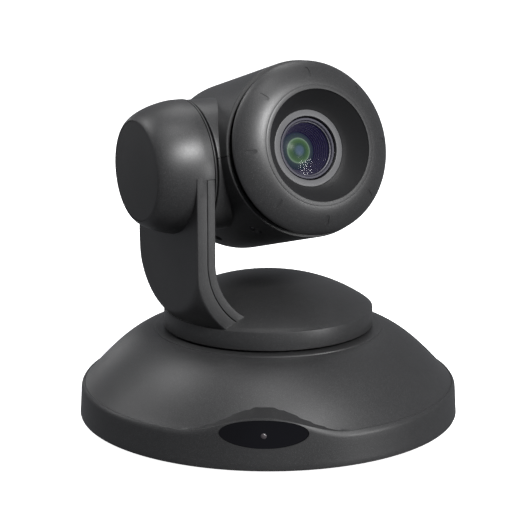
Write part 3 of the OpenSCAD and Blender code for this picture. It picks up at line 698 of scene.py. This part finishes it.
# ---- Lens shroud and ring --------------------------------------------------------------------
# A matt black dish, moulded apart from the bezel, keeps stray light off the lens. A flat ring
# closes its middle and holds the front of the barrel; its grey, lighter than the charcoal, is a
# painted highlight for the light its flat face catches.
lens_ring_r, lens_ring_in_r, lens_ring_back_d, lens_ring_d = 17.3, 14.4, 36.4, 38.5
dish_in_r, dish_out_r = lens_ring_r + 0.1, crest_in_r - 0.05
dish_low_d, dish_high_d = lens_ring_d + 0.1, crest_d - 0.55
dish_line = [(dish_in_r + (dish_out_r - dish_in_r) * f ** 0.8, dish_low_d + (dish_high_d - dish_low_d) * f)
             for f in (k / 12 for k in range(12, -1, -1))]
dish_line += [(dish_in_r, 35.5), (lens_ring_r + 1.6, 35.5), (dish_out_r, 47.2)]
shroud = lathe("lens_shroud_dish", dish_line, TO_LENS)
shroud_black = moulded("shroud_black", (0.006, 0.006, 0.0065), rough=0.5, grain=0.4, depth=0.00005)
dressed(shroud, shroud_black, "head", "dark_inner", "lens_shroud")
ring_line = rounded([(lens_ring_in_r, lens_ring_back_d, 0), (lens_ring_r, lens_ring_back_d, 0),
                     (lens_ring_r, lens_ring_d, 0.2), (lens_ring_in_r, lens_ring_d, 0.2)])
ring = lathe("lens_ring_flat", ring_line, TO_LENS)
# Lighter than the charcoal: a painted highlight for the light the flat ring catches.
ring_painted_highlight = moulded("ring_painted_highlight", (0.045, 0.045, 0.048), rough=0.4, grain=0.3, depth=0.00002)
dressed(ring, ring_painted_highlight, "head", "lens_ring", "lens_ring")

# ---- Lens barrel -----------------------------------------------------------------------------
# An aluminium tube, anodised black, with a retaining ring round the front glass. Behind the glass
# its bore steps down in fine ridges that catch stray light.
barrel_r, bore_r, barrel_back_d = 14.3, 11.5, -4.5
ridges, ridge_r, ridge_d, ridge_narrower, ridge_deeper = 7, 11.7, 34.6, 0.43, 1.05
bore_line = []
for k in range(ridges):
    step_r, step_d = ridge_r - ridge_narrower * k, ridge_d - ridge_deeper * k
    bore_line += [(step_r, step_d), (step_r - 0.04, step_d + 0.04), (step_r - 0.32, step_d + 0.04),
                  (step_r - 0.36, step_d)]
bore_line += [(8.6, 27.0), (8.6, 26.6), (bore_r, 26.5), (bore_r, barrel_back_d), (barrel_r, barrel_back_d)]
retaining_ring = [(barrel_r, 35.6), (13.95, 36.1), (13.75, 36.1), (13.7, 37.2), (13.55, 37.45),
                  (12.75, 37.45), (12.35, 37.0), (12.3, 36.6), (11.9, 36.5), (11.85, 35.3)]
barrel = lathe("lens_barrel_ridged", bore_line + retaining_ring, TO_LENS, 160, 24)
anodised = moulded("anodised_black", (0.02, 0.019, 0.03), rough=0.45, grain=0.8, depth=0.00001)
anodised.node_tree.nodes["Principled BSDF"].inputs["Metallic"].default_value = 0.2
dressed(barrel, anodised, "head", "dark_inner", "lens_barrel")

# ---- Front glass -----------------------------------------------------------------------------
# The front element is clear ground glass with a violet bloom; behind it sits a smaller
# cemented element whose coating looks green at its edge and blue in the middle. Its colours
# also glow, a painted reflection standing in for the light it returns inside the barrel.


def lens(name, radius, back_d, front_d, sag):
    """A round element, flat behind and domed in front."""
    dome = [(radius * k / 20, front_d - sag * (k / 20) ** 2) for k in range(20, -1, -1)]
    return lathe(name, [(0, back_d), (radius, back_d)] + dome, TO_LENS, 128)


front_glass = lens("front_glass", 11.8, 35.6, 37.1, 1.2)
clear = bpy.data.materials.new("clear_glass")
clear.use_nodes = True
clear_shader = clear.node_tree.nodes["Principled BSDF"]
clear_shader.inputs["Base Color"].default_value = (0.008, 0.005, 0.03, 1)
clear_shader.inputs["Alpha"].default_value = 0.22
clear_shader.inputs["Specular IOR Level"].default_value = 0.15
smear = clear.node_tree.nodes.new("ShaderNodeTexNoise")
smear.inputs["Scale"].default_value = 160
smear_place = clear.node_tree.nodes.new("ShaderNodeTexCoord")
smear_range = clear.node_tree.nodes.new("ShaderNodeMapRange")
smear_range.inputs["To Min"].default_value = 0.04
smear_range.inputs["To Max"].default_value = 0.1
clear.node_tree.links.new(smear_place.outputs["Object"], smear.inputs["Vector"])
clear.node_tree.links.new(smear.outputs["Fac"], smear_range.inputs["Value"])
clear.node_tree.links.new(smear_range.outputs["Result"], clear_shader.inputs["Roughness"])
dressed(front_glass, clear, "head", "lens_glass", "front_lens")

inner_r = 8.5
inner_glass = lens("inner_glass", inner_r, 26.8, 30.2, 2.6)


def coated_with_painted_glow(name, stops, painted_glow):
    """Coated glass: colour rings about the lens axis, also emitted as a painted glow for the light the lens
    reflects.
    """
    made = bpy.data.materials.new(name)
    made.use_nodes = True
    tree = made.node_tree
    shader = tree.nodes["Principled BSDF"]
    place = tree.nodes.new("ShaderNodeTexCoord")
    off_axis = tree.nodes.new("ShaderNodeVectorMath")
    off_axis.operation = "SUBTRACT"
    off_axis.inputs[1].default_value = axis_at
    cross = tree.nodes.new("ShaderNodeVectorMath")
    cross.operation = "CROSS_PRODUCT"
    cross.inputs[1].default_value = lens_dir
    distance = tree.nodes.new("ShaderNodeVectorMath")
    distance.operation = "LENGTH"
    spread = tree.nodes.new("ShaderNodeMapRange")
    spread.inputs["From Max"].default_value = inner_r * MM
    colours = tree.nodes.new("ShaderNodeValToRGB")
    ramp = colours.color_ramp
    while len(ramp.elements) < len(stops):
        ramp.elements.new(0.5)
    for element, (at, colour) in zip(ramp.elements, stops):
        element.position = at
        element.color = (*colour, 1)
    tree.links.new(place.outputs["Object"], off_axis.inputs[0])
    tree.links.new(off_axis.outputs[0], cross.inputs[0])
    tree.links.new(cross.outputs[0], distance.inputs[0])
    tree.links.new(distance.outputs["Value"], spread.inputs["Value"])
    tree.links.new(spread.outputs["Result"], colours.inputs["Fac"])
    tree.links.new(colours.outputs["Color"], shader.inputs["Base Color"])
    tree.links.new(colours.outputs["Color"], shader.inputs["Emission Color"])
    # The emission is painted light: a glow in the ring colours for the reflections inside the lens.
    shader.inputs["Emission Strength"].default_value = painted_glow
    shader.inputs["Roughness"].default_value = 0.3
    shader.inputs["Specular IOR Level"].default_value = 0.12
    return made


# Coated glass whose colour rings also glow, a painted reflection inside the lens.
green_coat_painted_glow = coated_with_painted_glow("green_coated_glass_painted_glow", [
    (0.0, (0.05, 0.08, 0.11)), (0.2, (0.045, 0.075, 0.09)), (0.32, (0.02, 0.05, 0.025)),
    (0.5, (0.035, 0.075, 0.018)), (0.6, (0.05, 0.1, 0.04)), (0.66, (0.13, 0.19, 0.12)),
    (0.71, (0.025, 0.04, 0.03)), (1.0, (0.012, 0.02, 0.02))], 0.9)
dressed(inner_glass, green_coat_painted_glow, "head", "lens_glass")

# ---- Head screws -----------------------------------------------------------------------------
# Four zinc-plated pan-head screws with cross recesses, driven up from pockets under the head,
# hold the two half shells together.


def metal(name, colour, rough=0.32, streak=0.25):
    """Plated or turned metal: slight tone change, fine streaks and uneven gloss."""
    made = moulded(name, colour, rough=rough, grain=streak, depth=0.000006, mottle=0.08)
    made.node_tree.nodes["Principled BSDF"].inputs["Metallic"].default_value = 1.0
    return made


def grid_tree():
    """Copies a piece to the corners of a grid: counts and whole sizes both ways."""
    tree, given, result = tree_of("grid_of_copies", [
        ("Count X", "NodeSocketInt"), ("Count Y", "NodeSocketInt"), ("Size X", "NodeSocketFloat"),
        ("Size Y", "NodeSocketFloat")])
    net = tree.nodes.new("GeometryNodeMeshGrid")
    place = tree.nodes.new("GeometryNodeInstanceOnPoints")
    for label, socket in (("Count X", "Vertices X"), ("Count Y", "Vertices Y"), ("Size X", "Size X"),
                          ("Size Y", "Size Y")):
        tree.links.new(given.outputs[label], net.inputs[socket])
    tree.links.new(net.outputs["Mesh"], place.inputs["Points"])
    tree.links.new(given.outputs["Piece"], place.inputs["Instance"])
    finish_tree(tree, place.outputs["Instances"], given, result)
    return tree


def screw(name, wide, head_h, shank_r, shank):
    """A pan-head screw, head down, with a cross recess; its shank runs up from height 0."""
    line = [(0, -head_h), (wide * 0.6, -head_h), (wide * 0.85, -head_h * 0.8), (wide, -head_h * 0.3),
            (wide, 0), (shank_r, 0), (shank_r, shank), (0, shank)]
    body = lathe(name, line, HERE, 32)
    arm, half = wide * 0.62, wide * 0.17
    cross = [(half, half), (half, arm), (-half, arm), (-half, half), (-arm, half), (-arm, -half),
             (-half, -half), (-half, -arm), (half, -arm), (half, -half), (arm, -half), (arm, half)]
    return combined(body, prism("cross", cross, -head_h - 1, -head_h * 0.45), "DIFFERENCE")


GRID = grid_tree()
zinc = metal("zinc_plate", (0.5, 0.51, 0.53))
head_screws = screw("head_screws_cross", 2.35, 1.65, 1.15, 40)
grown(head_screws, GRID, zinc, HEAD @ Matrix.Translation((0, 0, screw_seat * MM)), count_x=2, count_y=2,
      size_x=2 * screw_x * MM, size_y=2 * screw_y * MM)
dressed(head_screws, zinc, "head", "steel", "head_screws")

# ---- Base plate ------------------------------------------------------------------------------
# A dark moulded disc that closes the base from below. It is dished between its edge and its
# middle, vented by a ring of slots, and carries the tripod insert and the bracket holes.
plate_low, plate_high, foot_ring_r, screw_ring_r = 0.6, 2.2, 74, 76
plate_r = (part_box("base_plate")[1].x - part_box("base_plate")[0].x) / 2 / MM
plate = lathe("base_plate_dished", [
    (6.1, plate_high), (6.1, plate_low), (11, plate_low), (11.5, plate_low + 0.4), (40, plate_low + 0.4),
    (40.5, plate_low), (64, plate_low), (plate_r - 1.2, plate_low), (plate_r - 0.4, plate_low + 0.3),
    (plate_r, plate_low + 0.8), (plate_r, plate_high)], BASE, 224)
plate_black = moulded("plate_black", (0.02, 0.02, 0.021), rough=0.6, grain=0.5, depth=0.00008)


def drill(name, radius, top, steps=32):
    """A round cutter that starts below the plate."""
    return lathe(name, [(0, -1), (radius, -1), (radius, top), (0, top)], HERE, steps)


for count, radius, first, turn, cutter in (
        (30, 52, 3, 12, prism("slot_cutter", pill(12.8), -1, 4)),
        (4, 30, 0, 90, drill("bracket_cutter", 1.65, 4)),
        (4, screw_ring_r, 45, 90, drill("screw_cutter", 1.7, 4)),
        (2, foot_ring_r, 25, 130, drill("foot_cutter", 7.2, 1.2, 64)),
        (2, foot_ring_r, 205, 130, drill("foot_cutter", 7.2, 1.2, 64))):
    grown(cutter, RING, plate_black, BASE, count=count, radius=radius * MM, first_angle=math.radians(first),
          step_angle=math.radians(turn))
    combined(plate, cutter, "DIFFERENCE")
smooth_by(plate, 30)
dressed(plate, plate_black, "base", "trim", "base_plate")

# ---- Rubber feet -----------------------------------------------------------------------------
# Four soft black rubber discs with a shallow dimple, so that the camera doesn't slide. They are
# glued into round seats in the plate, two on each side.
rubber = moulded("foot_rubber", (0.022, 0.022, 0.022), rough=0.8, grain=0.6, depth=0.0001)
for label, first in (("rubber_feet_right", -25), ("rubber_feet_left", 155)):
    feet = lathe(label, [(0, 1.2), (7, 1.2), (7, -0.6), (6.6, -1.05), (6.1, -1.2), (3.2, -1.2), (2.6, -0.85),
                         (0, -0.8)], HERE, 64)
    grown(feet, RING, rubber, BASE, count=2, radius=foot_ring_r * MM, first_angle=math.radians(first),
          step_angle=math.radians(50))
    dressed(feet, rubber, "base", "rubber", "rubber_feet")

# ---- Base screws -----------------------------------------------------------------------------
# Four zinc-plated pan-head screws with cross recesses, set between the feet, hold the plate to
# posts inside the cover.
base_screws = screw("base_screws_cross", 2.6, 1.4, 1.2, 12)
grown(base_screws, RING, zinc, BASE @ Matrix.Translation((0, 0, plate_low * MM)), count=4,
      radius=screw_ring_r * MM, first_angle=math.radians(45), step_angle=math.radians(90))
dressed(base_screws, zinc, "base", "steel", "base_screws")

# ---- Tripod insert ---------------------------------------------------------------------------
# A turned brass bush with a collar, pressed into the middle of the plate. It is threaded inside
# for a camera screw and closed at the top.
crest_thread_r, root_thread_r, half_pitch = 2.6, 3.05, 0.6
thread = [(crest_thread_r if k % 2 else root_thread_r, plate_low + 0.5 + half_pitch * k) for k in range(13)]
bush_line = [(3.4, plate_low), (6, plate_low), (6, plate_high), (8, plate_high), (8, 3.8), (5, 3.8),
             (5, 10.8), (0, 10.8), (0, 8.6), (crest_thread_r, 8.6)]
insert = lathe("tripod_insert_threaded", bush_line + thread[::-1], BASE, 96, 20)
brass = metal("turned_brass", (0.62, 0.42, 0.16), 0.28)
dressed(insert, brass, "base", "brass", "tripod_insert")

# ---- Rear panel ------------------------------------------------------------------------------
# A flat black moulding at the back of the cable recess, with an opening for each socket. Its
# edges and openings are eased.
def eased(piece, width):
    """Rounds the sharp edges of a piece."""
    step = piece.modifiers.new("ease", "BEVEL")
    step.width, step.segments, step.limit_method = width * MM, 2, "ANGLE"
    step.angle_limit = math.radians(30)
    mesh = bpy.data.meshes.new_from_object(piece.evaluated_get(bpy.context.evaluated_depsgraph_get()))
    piece.modifiers.clear()
    piece.data = mesh
    smooth_by(piece, 34)


board_h, panel_thick, opening_gap = 5.8, 2, 0.1
jack_x, jack_h, square_x, flat_x, network_x, control_x = -37, 5.6, -20, 0, 19, 37
panel = block("rear_panel_pierced", (-recess_half_w, panel_y, recess_low),
              (recess_half_w, panel_y + panel_thick, recess_high), BASE)
socket_sizes = ((square_x, 6.1, 11), (flat_x, 7.6, 6.2), (network_x, 8.1, 13.3), (control_x, 6.7, 12.4))
for x, half_w, high in socket_sizes:
    opening = block("opening", (x - half_w - opening_gap, panel_y - 1, board_h - opening_gap),
                    (x + half_w + opening_gap, panel_y + 4, board_h + high + opening_gap), BASE)
    combined(panel, opening, "DIFFERENCE")
jack_at = (BASE @ Matrix.Translation((jack_x * MM, panel_y * MM, (board_h + jack_h) * MM))
           @ Matrix.Rotation(math.radians(-90), 4, "X"))
combined(panel, lathe("round_opening", [(0, -1), (4.8, -1), (4.8, 5), (0, 5)], jack_at, 48), "DIFFERENCE")
eased(panel, 0.25)
dressed(panel, plate_black, "base", "trim", "rear_panel")

# ---- Socket insides --------------------------------------------------------------------------
# Each socket shell is soldered to the main board. The square and the flat one have a black
# tongue, the flat one's with gilt contacts; the two others have a row of sprung gilt wires under the roof.
socket_black = moulded("socket_black", (0.018, 0.018, 0.02), rough=0.4, grain=0.5)
gilt = metal("gilt_contact", (0.7, 0.5, 0.18), 0.22)
tongue_tip_y = 63.4
for label, x, half_w, low, high, back in (
        ("usb_tongue", square_x, 2.7, 9.6, 12.8, 54.6), ("video_tongue", flat_x, 5.6, 8.3, 9.3, 55.6)):
    tongue = block(label, (x - half_w, back, low), (x + half_w, tongue_tip_y, high), BASE)
    eased(tongue, 0.2)
    dressed(tongue, socket_black, "base", "socket")


def row_of(name, count, pitch, x, y, z, outline, width):
    """A row of like contacts along X: a bent strip repeated at a fixed pitch."""
    strip = outline + [(a, b - contact_thick) for a, b in reversed(outline)]
    wire = prism(name, strip, -width / 2, width / 2)
    wire.data.transform(Matrix.Rotation(math.radians(90), 4, "Z") @ Matrix.Rotation(math.radians(90), 4, "X"))
    grown(wire, GRID, gilt, BASE @ Matrix.Translation((x * MM, y * MM, z * MM)), count_x=count, count_y=1,
          size_x=(count - 1) * pitch * MM, size_y=0.0)
    dressed(wire, gilt, "base", "brass")


contact_thick = 0.22
long_spring = [(0, 0), (7.4, -0.2), (7.9, -0.6), (2.2, -3.6)]
short_spring = [(0, 0), (7.2, -0.2), (7.6, -0.5), (2.2, -2.8)]
row_of("network_contacts", 8, 1.02, network_x, 53, 16.0, long_spring, 0.45)
row_of("control_contacts", 6, 1.02, control_x, 53, 14.6, short_spring, 0.45)
row_of("video_contacts", 10, 1.0, flat_x, 56, 9.52, [(0, 0), (7.0, 0)], 0.4)

# ---- Sockets, drives and electronics ---------------------------------------------------------
# The plated socket shells, the two gear drives, the boards and the camera block keep the shape
# they have in the mechanical model; each gets the finish of its own material.
solder_mask = moulded("solder_mask", (0.012, 0.07, 0.035), rough=0.3, grain=1.6, depth=0.00002, mottle=0.3)
chip_epoxy = moulded("chip_epoxy", (0.012, 0.012, 0.013), rough=0.5, grain=0.3)
acetal = moulded("natural_acetal", (0.72, 0.68, 0.56), rough=0.4, grain=0.9, mottle=0.05)
amber_film = moulded("amber_film", (0.5, 0.28, 0.05), rough=0.2, grain=2.0, depth=0.000005)
bearing_steel = metal("bearing_steel", (0.6, 0.61, 0.62), 0.15)
motor_can = metal("motor_can", (0.42, 0.43, 0.45), 0.36)
cast_grey = metal("cast_grey", (0.16, 0.165, 0.175), 0.5, 0.6)
kept = (
    (zinc, "board_standoffs pan_chassis turntable_screws pan_shaft pan_retainer tilt_chassis"),
    (zinc, "tilt_motor_bracket head_frame tilt_shaft usb_port video_port"),
    (bearing_steel, "pan_bearing_outer pan_bearing_inner pan_bearing_balls tilt_bearing"),
    (motor_can, "pan_motor tilt_motor"),
    (brass, "pan_pinion tilt_pinion"),
    (acetal, "pan_gear tilt_gear"),
    (solder_mask, "main_board receiver_board sensor_board"),
    (chip_epoxy, "main_chips image_sensor"),
    (socket_black, "power_jack network_jack control_jack zoom_cell focus_cell"),
    (amber_film, "arm_ribbon"),
    (cast_grey, "camera_block"),
    (plate_black, "turntable_plate"),
    # the lens elements in the camera block take the coated glass with its painted glow
    (green_coat_painted_glow, "zoom_lens focus_lens"))
for finish, names in kept:
    for name in names.split():
        slots = frame["nodes"][name].data.materials
        slots.clear()
        slots.append(finish)
